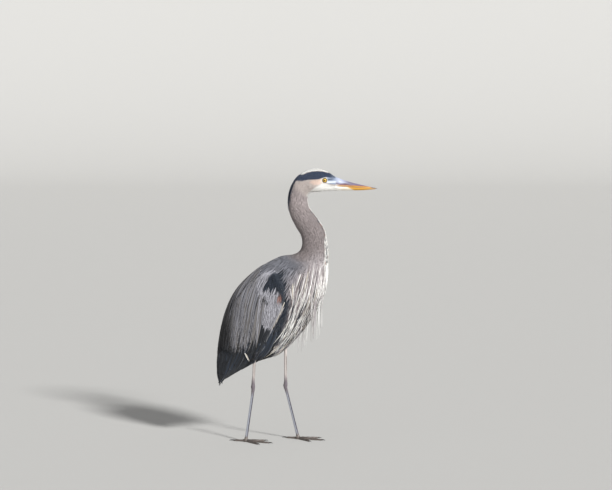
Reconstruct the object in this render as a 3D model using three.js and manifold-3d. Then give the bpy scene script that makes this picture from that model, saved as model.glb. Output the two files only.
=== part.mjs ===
// Great blue heron, standing at ease with the neck in a relaxed S and one foot ahead of the other.
// Millimetres, +Z up. The bill points along +X and the bird's right side is towards -Y.
// The bird is drawn straight ahead first, then its trunk and legs are turned a little under the head.

import * as THREE from "three";
import { mergeVertices } from "three/addons/utils/BufferGeometryUtils.js";
import Module from "manifold-3d";

const wasm = await Module();
wasm.setup();

// Driving dimensions
const gap = 0.3; // between neighbouring pieces
const bodySides = 20; // facets round the trunk, neck and head
const limbSides = 10;
const toeSides = 8;

// Rings from tail to bill tip: back x, z; front x, z; half width
const bodyRings = [
  [-279, 213, -252, 211, 25],
  [-284, 262, -208, 237, 31],
  [-278, 320, -138, 272, 38],
  [-267, 385, -73, 297, 50],
  [-248, 450, -20, 341, 57],
  [-218, 511, 21, 388, 64],
  [-173, 562, 61, 448, 67],
  [-116, 607, 91, 503, 65],
  [-60, 636, 105, 559, 58],
  [-12, 645, 109, 607, 49],
  [12, 660, 110, 646, 42],
  [20, 685, 106, 687, 36],
  [15, 712, 98, 727, 32],
  [0, 738, 81, 757, 30],
  [-17, 771, 62, 783, 28],
  [-27, 805, 46, 803, 27],
  [-27, 843, 39, 826, 26],
  [-18, 880, 39, 843, 25],
  [4, 914, 45, 855, 24.5],
  [42, 935, 56, 859, 24],
  [72, 939, 75, 860, 22.5],
  [96, 933, 96, 862, 18.5],
  [112, 925, 112, 863, 15.5],
  [129, 914, 129, 864, 13],
  [150, 904, 150, 864.5, 10.5],
  [183, 893, 183, 865, 7.5],
  [218, 884.5, 218, 865.5, 5.5],
  [250, 877, 250, 867.5, 3.4],
  [275, 871.6, 275, 869.8, 1],
];
const ringSplits = 2; // steps from one ring to the next
const headSplits = 4;
// Where the pieces part, counted in rings
const cuts = { rump: 1.5, trunk: 3, breast: 5, neckLower: 8.5, neckMiddle: 11.5, neckUpper: 14.5,
  head: 17.5, bill: 23, tip: 28 };
const backWidening = 0.13; // the trunk is widest nearer its back, the cheeks nearer the throat
const cheekWidening = -0.1;

const eyeCentre = new THREE.Vector3(96, 11.2, 900);
const eyeRadius = 9;
// The crest lies along the nape: place on the neck and half width
const crest = [[19.2, 2], [18.4, 8], [17.6, 10], [16.8, 9], [16, 6], [15.2, 1.5]];
const crestLift = 0.6;
const crestFlatness = 0.3;

const gapeZ = 880; // where the mandibles meet at the bill's base
const gapeSlope = -0.062;
const gapeX = 126;
const lowerMandibleShorter = 6;
const tipRingSpacing = 25; // between the last two rings of the bill

const trunkTurn = THREE.MathUtils.degToRad(15); // the breast turns towards the bird's right
const turnAxisX = 50;
const turnFrom = 600; // heights between which the neck takes up the turn
const turnTo = 800;

const wingThickness = 8;
const quillThickness = 5;
const prismReach = 120;
const wingOutline = [[-28, 548], [-52, 590], [-100, 590], [-160, 543], [-205, 488], [-234, 430], [-251, 365],
  [-258, 312], [-222, 298], [-196, 316], [-164, 312], [-145, 334], [-118, 330], [-94, 346], [-66, 400],
  [-36, 455], [-22, 500]];
const quillOutline = [[-110, 370], [-92, 333], [-118, 306], [-170, 268], [-222, 236], [-264, 209],
  [-281, 213], [-281, 262], [-272, 304], [-236, 330]];

// Hanging breast plumes: place of the root on the trunk, length and how far to each side
const plumes = [
  { place: 7.7, length: 130, sides: [-6, 9] },
  { place: 7.4, length: 124, sides: [-20, 22] },
  { place: 7.0, length: 126, sides: [0] },
  { place: 6.8, length: 124, sides: [-31, 31] },
  { place: 6.5, length: 134, sides: [-14, 14] },
  { place: 6.1, length: 126, sides: [-26, 26] },
  { place: 5.8, length: 124, sides: [-7, 7] },
];
const plumeLean = 0.1; // a tip hangs this share of the length behind its root
const plumeRoot = 0.95; // roots lie a little under the surface
const plumeGather = 0.15; // tips draw in towards the middle by this share
const plumeWidth = 5;
const plumeDepth = 2.2;

const legs = {
  right: { side: -1, thighTop: [-112, 34, 384], cuff: [-140, 38, 284], ankle: [-146, 34, 187],
    foot: [-167, 52], heading: -8 },
  left: { side: 1, thighTop: [-66, 34, 398], cuff: [-51, 38, 306], ankle: [-50, 36, 187],
    foot: [-8, 44], heading: 6 },
};
const toes = {
  middle: { turn: 0, length: 86, claw: 14 },
  outer: { turn: 31, length: 70, claw: 12 },
  inner: { turn: -33, length: 64, claw: 13 },
  hind: { turn: 176, length: 42, claw: 19 },
};
const hubHeight = 12;
const hubLength = 8.6; // half sizes of the pad where the toes meet
const hubWidth = 7.6;

const colours = { slate: 0x86868e, mauve: 0x9c9396, breast: 0xa9a2a2, nearBlack: 0x1b1e24, face: 0xd9d2cc,
  crest: 0x23262d, iris: 0xd8a832, upperBill: 0x7f7784, lowerBill: 0xd9952f, shank: 0xb5aca6,
  ankle: 0x9a9195, tarsus: 0x8d8f98, toe: 0x6d6a68, claw: 0x2c2826 };

// Lofts: rings given by a centre, a half height and a half width, with smooth curves through all three

function loft(rings) {
  const curve = (key) => {
    const points = rings.map((ring) => ring[key]);
    return new THREE.CatmullRomCurve3(points, false, "catmullrom", 0.5);
  };
  return { centre: curve("centre"), rise: curve("rise"), side: curve("side"), last: rings.length - 1 };
}

function ringOf(centre, rise, side) {
  return { centre: new THREE.Vector3(...centre), rise: new THREE.Vector3(...rise),
    side: new THREE.Vector3(...side) };
}

// A capped cylinder whose rows are laid on the loft between two places, grown outwards by an allowance
function loftPiece(shape, from, to, options = {}) {
  const { splits = ringSplits, sides = bodySides, grow = 0, widening = () => 0 } = options;
  const steps = Math.max(1, Math.round((to - from) * splits));
  const geometry = new THREE.CylinderGeometry(1, 1, 1, sides, steps);
  const position = geometry.attributes.position;
  for (let k = 0; k < position.count; k += 1) {
    const place = from + (0.5 - position.getY(k)) * (to - from);
    const t = place / shape.last;
    const rise = shape.rise.getPoint(t);
    const side = shape.side.getPoint(t);
    const up = position.getZ(k);
    const across = position.getX(k) * (1 - widening(place) * up);
    const point = shape.centre.getPoint(t)
      .addScaledVector(rise, up * (1 + grow / rise.length()))
      .addScaledVector(side, across * (1 + grow / side.length()));
    position.setXYZ(k, point.x, point.y, point.z);
  }
  return facingOut(closed(geometry));
}

function closed(geometry) {
  geometry.deleteAttribute("normal");
  geometry.deleteAttribute("uv");
  return mergeVertices(geometry, 1e-4);
}

function solid(geometry) {
  const vertProperties = new Float32Array(geometry.attributes.position.array);
  const triVerts = new Uint32Array(geometry.index.array);
  return new wasm.Manifold(new wasm.Mesh({ numProp: 3, vertProperties, triVerts }));
}

function surface(manifold) {
  const mesh = manifold.getMesh();
  const geometry = new THREE.BufferGeometry();
  geometry.setAttribute("position", new THREE.BufferAttribute(mesh.vertProperties, 3));
  geometry.setIndex(new THREE.BufferAttribute(mesh.triVerts, 1));
  return geometry;
}

function carve(geometry, ...cutters) {
  return surface(cutters.reduce((left, cutter) => left.subtract(solid(cutter)), solid(geometry)));
}

function largest(manifold) {
  return manifold.decompose().sort((a, b) => b.volume() - a.volume())[0];
}

function reversed(geometry) {
  const index = geometry.index;
  for (let k = 0; k < index.count; k += 3) {
    const first = index.getX(k);
    index.setX(k, index.getX(k + 1));
    index.setX(k + 1, first);
  }
  return geometry;
}

function facingOut(geometry) {
  const position = geometry.attributes.position;
  const [a, b, c] = [new THREE.Vector3(), new THREE.Vector3(), new THREE.Vector3()];
  let volume = 0;
  for (let k = 0; k < geometry.index.count; k += 3) {
    [a, b, c].forEach((corner, j) => corner.fromBufferAttribute(position, geometry.index.getX(k + j)));
    volume += a.dot(b.cross(c));
  }
  return volume < 0 ? reversed(geometry) : geometry;
}

function mirrored(geometry) {
  return reversed(geometry.clone().scale(1, -1, 1));
}

// A side outline as a prism that reaches out from the middle to one side
function sidePrism(side, outline) {
  const shape = new THREE.Shape(outline.map(([x, z]) => new THREE.Vector2(x, z)));
  const block = new THREE.ExtrudeGeometry(shape, { depth: prismReach, bevelEnabled: false });
  const prism = closed(block.rotateX(Math.PI / 2));
  return solid(side === "left" ? mirrored(prism) : prism);
}

function turnTrunk(geometry) {
  const position = geometry.attributes.position;
  for (let k = 0; k < position.count; k += 1) {
    const z = position.getZ(k);
    const angle = trunkTurn * (1 - THREE.MathUtils.smoothstep(z, turnFrom, turnTo));
    const x = position.getX(k) - turnAxisX;
    const y = position.getY(k);
    position.setX(k, turnAxisX + x * Math.cos(angle) + y * Math.sin(angle));
    position.setY(k, y * Math.cos(angle) - x * Math.sin(angle));
  }
  return geometry;
}

const group = new THREE.Group();

function addPiece(name, geometry, color, roughness = 0.8) {
  const own = new THREE.BufferGeometry();
  own.setAttribute("position", geometry.attributes.position.clone());
  own.setIndex(geometry.index.clone());
  const turned = surface(largest(solid(turnTrunk(own))));
  turned.computeVertexNormals();
  const mesh = new THREE.Mesh(turned, new THREE.MeshStandardMaterial({ color, roughness, metalness: 0 }));
  mesh.name = name;
  group.add(mesh);
}

// Trunk, neck, head and bill as lengths of one loft

const body = loft(bodyRings.map(([backX, backZ, frontX, frontZ, halfWidth]) => ringOf(
  [(backX + frontX) / 2, 0, (backZ + frontZ) / 2],
  [(frontX - backX) / 2, 0, (frontZ - backZ) / 2],
  [0, -halfWidth, 0],
)));

function bodyWidening(place) {
  const { smoothstep } = THREE.MathUtils;
  const onTrunk = 1 - smoothstep(place, cuts.breast, cuts.neckLower);
  const onCheeks = smoothstep(place, cuts.head, cuts.head + 2)
    * (1 - smoothstep(place, cuts.bill - 1, cuts.bill));
  return backWidening * onTrunk + cheekWidening * onCheeks;
}

function bodyPiece(from, to, options = {}) {
  return loftPiece(body, from, to, { widening: bodyWidening, ...options });
}

// Half the gap, as a share of the way from one ring to the next
function slip(place) {
  const step = 0.02;
  const ahead = body.centre.getPoint(Math.min(1, (place + step) / body.last));
  const behind = body.centre.getPoint(Math.max(0, (place - step) / body.last));
  return gap * step / ahead.distanceTo(behind);
}

function bodyLength(from, to, options) {
  return bodyPiece(from > 0 ? from + slip(from) : from, to < body.last ? to - slip(to) : to, options);
}

const fullBody = bodyPiece(0, cuts.head, { grow: gap * 2 });

addPiece("tail", bodyLength(0, cuts.rump), colours.nearBlack);
addPiece("rump", bodyLength(cuts.rump, cuts.trunk), colours.nearBlack);
addPiece("trunk", bodyLength(cuts.trunk, cuts.breast), colours.slate);
addPiece("neck_lower", bodyLength(cuts.neckLower, cuts.neckMiddle), colours.mauve);
addPiece("neck_middle", bodyLength(cuts.neckMiddle, cuts.neckUpper), colours.mauve);
addPiece("neck_upper", bodyLength(cuts.neckUpper, cuts.head), colours.mauve);

// Breast, with the long plumes that hang from it

function plume(place, length, side) {
  const t = place / body.last;
  const across = side / body.side.getPoint(t).length();
  const frontward = plumeRoot * Math.sqrt(1 - across ** 2);
  const root = body.centre.getPoint(t).addScaledVector(body.rise.getPoint(t), frontward);
  const rings = [[0, 0.8], [0.3, 1], [0.6, 0.9], [0.85, 0.55], [1, 0.12]].map(([share, fullness]) => ringOf(
    [root.x - plumeLean * length * share ** 2, side * (1 - plumeGather * share), root.z - length * share],
    [plumeDepth * fullness, 0, 0],
    [0, plumeWidth * fullness, 0],
  ));
  return loftPiece(loft(rings), 0, rings.length - 1, { splits: 1, sides: 6 });
}

let breast = solid(bodyLength(cuts.breast, cuts.neckLower));
const trunkCutter = solid(bodyPiece(0, cuts.breast, { grow: gap }));
for (const { place, length, sides } of plumes) {
  for (const side of sides) breast = breast.add(solid(plume(place, length, side)).subtract(trunkCutter));
}
addPiece("breast", surface(breast), colours.breast);

// Head, eyes, crest and bill

function eyeball(grow) {
  const geometry = closed(new THREE.SphereGeometry(eyeRadius + grow, 14, 8));
  geometry.rotateX(Math.PI / 2);
  geometry.translate(eyeCentre.x, -eyeCentre.y, eyeCentre.z);
  return geometry;
}

const socket = eyeball(gap);
const headWhole = bodyLength(cuts.head, cuts.bill, { splits: headSplits });
addPiece("head", carve(headWhole, socket, mirrored(socket)), colours.face);
addPiece("eye_right", eyeball(0), colours.iris, 0.15);
addPiece("eye_left", mirrored(eyeball(0)), colours.iris, 0.15);

const crestRings = crest.map(([place, halfWidth]) => {
  const t = place / body.last;
  const nape = body.centre.getPoint(t).sub(body.rise.getPoint(t));
  const outward = body.rise.getPoint(t).normalize().negate();
  return { centre: nape.addScaledVector(outward, crestLift), rise: outward.multiplyScalar(halfWidth * crestFlatness),
    side: new THREE.Vector3(0, halfWidth, 0) };
});
const crestLoft = loftPiece(loft(crestRings), 0, crestRings.length - 1, { sides: 8 });
const napeCutter = bodyPiece(cuts.neckMiddle, cuts.bill, { splits: headSplits, grow: gap * 2 });
addPiece("crest", surface(largest(solid(crestLoft).subtract(solid(napeCutter)))), colours.crest);

function mandible(upper) {
  const [long, tall] = [300, 60];
  const block = new THREE.BoxGeometry(long, tall, tall);
  block.translate(long / 2 - 10, 0, (upper ? 1 : -1) * (tall + gap) / 2);
  block.rotateY(-Math.atan(gapeSlope));
  block.translate(gapeX, 0, gapeZ);
  const last = upper ? cuts.tip : cuts.tip - lowerMandibleShorter / tipRingSpacing;
  return surface(solid(bodyLength(cuts.bill, last, { sides: 16 })).intersect(solid(closed(block))));
}

addPiece("bill_upper", mandible(true), colours.upperBill, 0.35);
addPiece("bill_lower", mandible(false), colours.lowerBill, 0.35);

// Legs: feathered thigh, bare shank, ankle, tarsus, foot and toes

const limb = { splits: 1, sides: limbSides };

function uprightRings(rows, side) {
  return loft(rows.map(([x, y, z, halfDepth, halfWidth]) => ringOf([x, y * side, z], [halfDepth, 0, 0],
    [0, halfWidth, 0])));
}

function thighLoft({ side, thighTop, cuff }) {
  const between = (share) => thighTop.map((value, k) => value + (cuff[k] - value) * share);
  return uprightRings([[...thighTop, 27, 19], [...between(0.45), 22, 17], [...between(0.8), 12, 11],
    [...cuff, 7.5, 6.5]].reverse(), side);
}

function shinLoft({ side, cuff, ankle }) {
  const top = [cuff[0], cuff[1], cuff[2] + 14];
  const [x, y, z] = ankle;
  return uprightRings([[x, y, z + 12 + gap, 5.6, 5], [x, y, z + 40, 4.6, 4.2], [...top, 5, 4.5]], side);
}

function ankleLoft({ side, ankle }) {
  const [x, y, z] = ankle;
  return uprightRings([[x, y, z - 13, 4.9, 4.3], [x - 0.6, y, z - 6, 6.6, 5.4], [x - 0.8, y, z + 2, 7.6, 6.2],
    [x, y, z + 12, 5.6, 5]], side);
}

function tarsusLoft({ side, ankle, foot }) {
  const [x, y, z] = ankle;
  const along = (share) => [x + (foot[0] - x) * share, y + (foot[1] - y) * share,
    z - 13 - gap + (hubHeight + gap - z + 13 + gap) * share];
  return uprightRings([[...along(1), 5, 4.8], [...along(0.9), 4.4, 4], [...along(0.5), 4.4, 3.7],
    [...along(0), 4.9, 4.3]], side);
}

function hubLoft({ side, foot }) {
  const [x, y] = foot;
  return uprightRings([[x, y, 0, hubLength, hubWidth], [x, y, 7, hubLength, hubWidth],
    [x, y, hubHeight, 5.6, 5.2]], side);
}

// Rings along a heading from the foot's centre: distance, height of centre, half height, half width, tilt
function groundLoft({ side, foot, heading }, turn, rows) {
  const angle = THREE.MathUtils.degToRad(heading * side * -1 + turn * side);
  const ahead = new THREE.Vector3(Math.cos(angle), Math.sin(angle), 0);
  const across = new THREE.Vector3(-Math.sin(angle), Math.cos(angle), 0);
  const start = new THREE.Vector3(foot[0], foot[1] * side, 0);
  return loft(rows.map(([distance, height, halfHeight, halfWidth, tilt = 0]) => ({
    centre: start.clone().addScaledVector(ahead, distance).setZ(height),
    rise: ahead.clone().multiplyScalar(halfHeight * Math.sin(tilt)).setZ(halfHeight * Math.cos(tilt)),
    side: across.clone().multiplyScalar(-halfWidth),
  })));
}

function onGround(geometry) {
  const position = geometry.attributes.position;
  for (let k = 0; k < position.count; k += 1) position.setZ(k, Math.max(0, position.getZ(k)));
  return geometry;
}

function toePiece(leg, { turn, length }, grow = 0) {
  const rows = [[2, 4.6, 5, 4.2], [length * 0.35, 3.6, 4.1, 3.9], [length * 0.7, 3.2, 3.7, 3.4],
    [length, 2.6, 3, 2.7]];
  return onGround(loftPiece(groundLoft(leg, turn, rows), 0, rows.length - 1, { splits: 2, sides: toeSides, grow }));
}

function clawPiece(leg, { turn, length, claw }) {
  const rows = [[length + gap, 2.8, 2.3, 1.9], [length + claw * 0.4, 3.1, 1.9, 1.5, 0.25],
    [length + claw * 0.8, 2, 1.1, 0.9, 0.75], [length + claw, 0.5, 0.35, 0.35, 1]];
  return onGround(loftPiece(groundLoft(leg, turn, rows), 0, rows.length - 1, { splits: 1, sides: 6 }));
}

for (const [name, leg] of Object.entries(legs)) {
  const thigh = thighLoft(leg);
  const shin = shinLoft(leg);
  const shinCutter = loftPiece(shin, 0, 2, { ...limb, grow: gap });
  addPiece(`thigh_${name}`, carve(loftPiece(thigh, 0, 3, limb), fullBody, shinCutter), colours.nearBlack);
  addPiece(`shank_${name}`, loftPiece(shin, 0, 2, limb), colours.shank, 0.6);
  addPiece(`ankle_${name}`, loftPiece(ankleLoft(leg), 0, 3, limb), colours.ankle, 0.6);
  addPiece(`tarsus_${name}`, loftPiece(tarsusLoft(leg), 0, 3, limb), colours.tarsus, 0.6);
  const hub = hubLoft(leg);
  const hubCutter = loftPiece(hub, 0, 2, { ...limb, grow: gap });
  hubCutter.translate(0, 0, -0.5);
  addPiece(`foot_${name}`, loftPiece(hub, 0, 2, limb), colours.toe, 0.6);
  const middleCutter = toePiece(leg, toes.middle, gap);
  middleCutter.scale(1, 1, 1.2);
  middleCutter.translate(0, 0, -0.5);
  for (const [toeName, toe] of Object.entries(toes)) {
    const cutters = toeName === "middle" ? [hubCutter] : [hubCutter, middleCutter];
    addPiece(`toe_${toeName}_${name}`, carve(toePiece(leg, toe), ...cutters), colours.toe, 0.6);
    addPiece(`claw_${toeName}_${name}`, clawPiece(leg, toe), colours.claw, 0.4);
  }
}

// Folded wings: shells round the trunk inside a side outline, coverts above and dark quills below

function wingShell(side, outline, thickness) {
  const grown = solid(bodyPiece(0, cuts.neckLower + 0.5, { grow: thickness }));
  const thighs = solid(loftPiece(thighLoft(legs[side]), 0, 3, { ...limb, grow: gap * 2 }));
  return grown.intersect(sidePrism(side, outline)).subtract(solid(fullBody)).subtract(thighs);
}

function spread(outline, by) {
  const points = outline.map(([x, z]) => new THREE.Vector2(x, z));
  const middle = points.reduce((sum, point) => sum.add(point), new THREE.Vector2()).divideScalar(points.length);
  return points.map((point) => point.addScaledVector(point.clone().sub(middle).normalize(), by).toArray());
}

for (const side of ["right", "left"]) {
  const wingCutter = sidePrism(side, spread(wingOutline, gap * 3));
  const quills = wingShell(side, quillOutline, quillThickness).subtract(wingCutter);
  addPiece(`wing_${side}`, surface(wingShell(side, wingOutline, wingThickness)), colours.slate);
  addPiece(`quills_${side}`, surface(quills), colours.nearBlack);
}

// The origin is the middle of the box's underside
const box = new THREE.Box3().setFromObject(group);
const middle = box.getCenter(new THREE.Vector3());
group.position.set(-middle.x, -middle.y, -box.min.z);
group.updateMatrixWorld(true);

export default group;
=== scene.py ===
import math
import bpy
import numpy as np
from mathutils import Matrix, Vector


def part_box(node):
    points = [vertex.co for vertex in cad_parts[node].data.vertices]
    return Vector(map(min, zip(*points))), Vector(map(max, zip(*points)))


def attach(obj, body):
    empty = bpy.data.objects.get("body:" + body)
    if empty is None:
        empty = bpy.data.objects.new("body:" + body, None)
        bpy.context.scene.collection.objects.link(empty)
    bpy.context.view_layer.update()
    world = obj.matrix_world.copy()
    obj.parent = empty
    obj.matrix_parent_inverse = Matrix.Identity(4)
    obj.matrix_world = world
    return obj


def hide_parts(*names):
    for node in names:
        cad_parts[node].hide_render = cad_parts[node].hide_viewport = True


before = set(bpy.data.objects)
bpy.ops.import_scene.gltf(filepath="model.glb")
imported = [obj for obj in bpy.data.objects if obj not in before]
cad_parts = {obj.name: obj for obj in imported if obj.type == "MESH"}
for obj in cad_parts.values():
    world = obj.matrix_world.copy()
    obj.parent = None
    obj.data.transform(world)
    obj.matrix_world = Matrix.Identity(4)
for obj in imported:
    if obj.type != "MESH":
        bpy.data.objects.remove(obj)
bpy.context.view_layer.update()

rng = np.random.default_rng(7)
axisX, axisY, axisZ = np.eye(3)
skinNodes = ["tail", "rump", "trunk", "breast", "neck_lower", "neck_middle", "neck_upper", "head", "crest",
             "wing_right", "wing_left", "quills_right", "quills_left"]
legNodes = ["thigh", "shank", "ankle", "tarsus", "foot"]

# The body's form in millimetres, before the trunk is turned under the head: back x, z; front x, z; half width
bodyRings = np.array([
    [-279, 213, -252, 211, 25], [-284, 262, -208, 237, 31], [-278, 320, -138, 272, 38],
    [-267, 385, -73, 297, 50], [-248, 450, -20, 341, 57], [-218, 511, 21, 388, 64],
    [-173, 562, 61, 448, 67], [-116, 607, 91, 503, 65], [-60, 636, 105, 559, 58],
    [-12, 645, 109, 607, 49], [12, 660, 110, 646, 42], [20, 685, 106, 687, 36],
    [15, 712, 98, 727, 32], [0, 738, 81, 757, 30], [-17, 771, 62, 783, 28],
    [-27, 805, 46, 803, 27], [-27, 843, 39, 826, 26], [-18, 880, 39, 843, 25],
    [4, 914, 45, 855, 24.5], [42, 935, 56, 859, 24], [72, 939, 75, 860, 22.5],
    [96, 933, 96, 862, 18.5], [112, 925, 112, 863, 15.5], [129, 914, 129, 864, 13],
    [150, 904, 150, 864.5, 10.5], [183, 893, 183, 865, 7.5], [218, 884.5, 218, 865.5, 5.5],
    [250, 877, 250, 867.5, 3.4], [275, 871.6, 275, 869.8, 1]], float)
body = {"backWidening": 0.13, "cheekWidening": -0.1, "breastPlace": 5, "neckPlace": 8.5, "headPlace": 17.5,
        "billPlace": 23, "turn": math.radians(15), "turnAxisX": 50, "turnFrom": 600, "turnTo": 800}
eye = {"centre": (96, 11.2, 900), "radius": 8.9, "rings": 40, "around": 64, "iris": 5.8, "pupil": 2.6}
wing = {"rise": 8, "quillRise": 5, "edge": 12, "sideFade": (0.1, 0.45),
        "outline": [(-28, 548), (-52, 590), (-100, 590), (-160, 543), (-205, 488), (-234, 430), (-251, 365),
                    (-258, 312), (-222, 298), (-196, 316), (-164, 312), (-145, 334), (-118, 330), (-94, 346),
                    (-66, 400), (-36, 455), (-22, 500)],
        "quills": [(-110, 370), (-92, 333), (-118, 306), (-170, 268), (-222, 236), (-264, 209), (-281, 213),
                   (-281, 262), (-272, 304), (-236, 330)]}


def ease(low, high, value):
    # a smooth step from 0 at low to 1 at high
    share = np.clip((np.asarray(value, float) - low) / (high - low), 0, 1)
    return share * share * (3 - 2 * share)


def bell(offset, spread):
    # 1 in the middle, fading to nothing over about twice the spread
    return np.exp(-(offset / spread) ** 2)


def unit(vectors):
    return vectors / np.maximum(np.linalg.norm(vectors, axis=-1, keepdims=True), 1e-9)


def dot(a, b):
    return (a * b).sum(-1, keepdims=True)


def linear(hexColour):
    values = np.array([int(hexColour[k:k + 2], 16) for k in (1, 3, 5)]) / 255
    return np.where(values <= 0.04045, values / 12.92, ((values + 0.055) / 1.055) ** 2.4)


def spline(rows, place):
    padded = np.vstack([2 * rows[0] - rows[1], rows, 2 * rows[-1] - rows[-2]])
    index = np.clip(np.floor(place).astype(int), 0, len(rows) - 2)
    t = (place - index)[..., None]
    before, start, end, after = (padded[index + k] for k in range(4))
    slopeStart, slopeEnd = (end - before) / 2, (after - start) / 2
    return ((2 * t ** 3 - 3 * t ** 2 + 1) * start + (t ** 3 - 2 * t ** 2 + t) * slopeStart
            + (3 * t ** 2 - 2 * t ** 3) * end + (t ** 3 - t ** 2) * slopeEnd)


def insideBy(outline, x, z):
    # distance inside a side outline, negative outside
    points = np.array(outline, float)
    nearest, inside = np.full(np.shape(x), 1e9), np.zeros(np.shape(x), bool)
    for (ax, az), (bx, bz) in zip(points, np.roll(points, -1, axis=0)):
        dx, dz = bx - ax, bz - az
        along = np.clip(((x - ax) * dx + (z - az) * dz) / (dx ** 2 + dz ** 2), 0, 1)
        nearest = np.minimum(nearest, np.hypot(x - ax - along * dx, z - az - along * dz))
        if dz:
            inside ^= ((az > z) != (bz > z)) & (x < dx * (z - az) / dz + ax)
    return np.where(inside, nearest, -nearest)


# A point of the coat's surface: place counts rings from tail to bill, angle 0 is the front and pi the back,
# plus is the bird's left; the folded wings stand proud of the trunk
def surface(place, angle, withWings=True):
    place, angle = np.broadcast_arrays(np.asarray(place, float), np.asarray(angle, float))
    ring = spline(bodyRings, np.clip(place, 0, len(bodyRings) - 1))
    back, front, half = ring[..., 0:2], ring[..., 2:4], ring[..., 4]
    centre, rise = (back + front) / 2, (front - back) / 2
    up, proud = np.cos(angle), np.zeros(place.shape)
    if withWings:
        x, z = (centre[..., k] + rise[..., k] * up for k in (0, 1))
        trunk = place < body["neckPlace"] + 1
        for outline, height in (("outline", "rise"), ("quills", "quillRise")):
            depthIn = insideBy(wing[outline], x[trunk], z[trunk])
            proud[trunk] = np.maximum(proud[trunk], wing[height] * ease(0, wing["edge"], depthIn))
        proud = proud * ease(*wing["sideFade"], np.abs(np.sin(angle)))
    widening = (body["backWidening"] * (1 - ease(body["breastPlace"], body["neckPlace"], place))
                + body["cheekWidening"] * ease(body["headPlace"], body["headPlace"] + 2, place)
                * (1 - ease(body["billPlace"] - 1, body["billPlace"], place)))
    outer = 1 + proud / np.linalg.norm(rise, axis=-1)
    across = np.sin(angle) * (1 - widening * up) * (half + proud)
    return np.stack([centre[..., 0] + rise[..., 0] * up * outer, across,
                     centre[..., 1] + rise[..., 1] * up * outer], -1)


def surfaceFrame(place, angle, step=0.02):
    along = (surface(place + step, angle) - surface(place - step, angle)) / (2 * step)
    around = (surface(place, angle + step) - surface(place, angle - step)) / (2 * step)
    return surface(place, angle), along, around, unit(np.cross(around, along))


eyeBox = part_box("eye_right")
shift = np.array([(eyeBox[0][k] + eyeBox[1][k]) / 2 for k in range(3)]) * 1000
shift -= np.array([eye["centre"][0], -eye["centre"][1], eye["centre"][2]])


def placed(points):
    # turn the trunk under the head, move to the model's origin and go to metres
    x, y, z = points[..., 0] - body["turnAxisX"], points[..., 1], points[..., 2]
    angle = body["turn"] * (1 - ease(body["turnFrom"], body["turnTo"], z))
    turned = np.stack([body["turnAxisX"] + x * np.cos(angle) + y * np.sin(angle),
                       y * np.cos(angle) - x * np.sin(angle), z], -1)
    return (turned + shift) / 1000


print("form ready, shift", shift)


# Meshes from arrays of quads; points are in millimetres, straight ahead, until placed

def quadMesh(name, points, quads):
    mesh = bpy.data.meshes.new(name)
    flat = placed(points.reshape(-1, 3))
    mesh.vertices.add(len(flat))
    mesh.vertices.foreach_set("co", flat.astype(np.float32).ravel())
    mesh.loops.add(quads.size)
    mesh.loops.foreach_set("vertex_index", quads.astype(np.int32).ravel())
    mesh.polygons.add(len(quads))
    mesh.polygons.foreach_set("loop_start", np.arange(0, quads.size, 4, dtype=np.int32))
    mesh.polygons.foreach_set("use_smooth", np.ones(len(quads), bool))
    mesh.update(calc_edges=True)
    piece = bpy.data.objects.new(name, mesh)
    bpy.context.scene.collection.objects.link(piece)
    return piece


def addColours(piece, name, colours):
    layer = piece.data.color_attributes.new(name, "FLOAT_COLOR", "POINT")
    rgba = np.ones((len(piece.data.vertices), 4), np.float32)
    rgba[:, :3] = colours.reshape(-1, 3)
    layer.data.foreach_set("color", rgba.ravel())


def addUv(piece, name, perVertex):
    layer = piece.data.uv_layers.new(name=name)
    index = np.empty(len(piece.data.loops), np.int32)
    piece.data.loops.foreach_get("vertex_index", index)
    layer.data.foreach_set("uv", perVertex.reshape(-1, 2)[index].astype(np.float32).ravel())


def tubeQuads(rows, around):
    # quads of a closed tube of rows by around points; the two ends are closed by fans of quads
    row, column = np.meshgrid(np.arange(rows - 1), np.arange(around), indexing="ij")
    following = (column + 1) % around
    side = np.stack([row * around + column, row * around + following,
                     (row + 1) * around + following, (row + 1) * around + column], -1).reshape(-1, 4)
    k = np.arange(around // 2 - 1)
    start = np.stack([k, around - 1 - k, around - 2 - k, k + 1], -1)
    return np.vstack([side, start, (rows - 1) * around + start[:, ::-1]])


# Markings are painted in the straight bird's own side view
palette = {
    "neck": "#938988", "neckShade": "#8c8483", "mantle": "#7f8088", "covert": "#a9a8af",
    "scapular": "#8d8987", "plumeShade": "#43434b", "breast": "#bab2b4", "rump": "#23262b",
    # thigh is near-black: painted shade in place of the thighs' own rufous
    "quill": "#14171c", "thigh": "#202226", "black": "#16191e", "blueBlack": "#222a36", "white": "#fbf9f4",
    "cream": "#d8cfc0", "rufous": "#946556", "buff": "#f2d7c6", "cheek": "#d6cac3", "crownBlack": "#38435a",
    "lores": "#8b95a8", "loresPale": "#e3e8f0", "loresDark": "#3f4858", "lid": "#d6cfb4",
    "shank": "#c8bfba", "shankEdge": "#8d817f", "ankle": "#6c6469", "tarsus": "#9a9da6",
    "tarsusDark": "#4b4753", "toe": "#6a615b", "toeDark": "#3f3a38", "claw": "#1d1a19",
    "billHorn": "#6d6479", "billTip": "#4a4354", "billPaleAndHighlight": "#b7bfd4", "billGroove": "#453a4e",
    "billBrown": "#8a5442", "billEdge": "#e3b583", "billOchre": "#c8923c", "billOrange": "#d09a3a",
    "billCream": "#ece3d0", "iris": "#eac246", "irisFleck": "#c98a1c", "irisShade": "#8a5a1e",
    "pupil": "#050505", "eyeDark": "#120d0a"}
paint = {name: linear(value) for name, value in palette.items()}
# soft washes: colour, share, then the places and the angles from the front over which each comes in
washes = [("neckShade", 0.6, (17, 14), (1.0, 0.2)), ("breast", 1, (11, 8.5), (2.0, 1.2)),
          ("plumeShade", 0.8, (8.0, 5.6), (1.5, 1.1)), ("mantle", 1, (9.4, 8.2), (1.1, 1.9))]
lowWashes = [("black", 1, (5.6, 4.6), (0.55, 0.25)), ("black", 1, (4.2, 3.2), (1.7, 1.2))]
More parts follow.
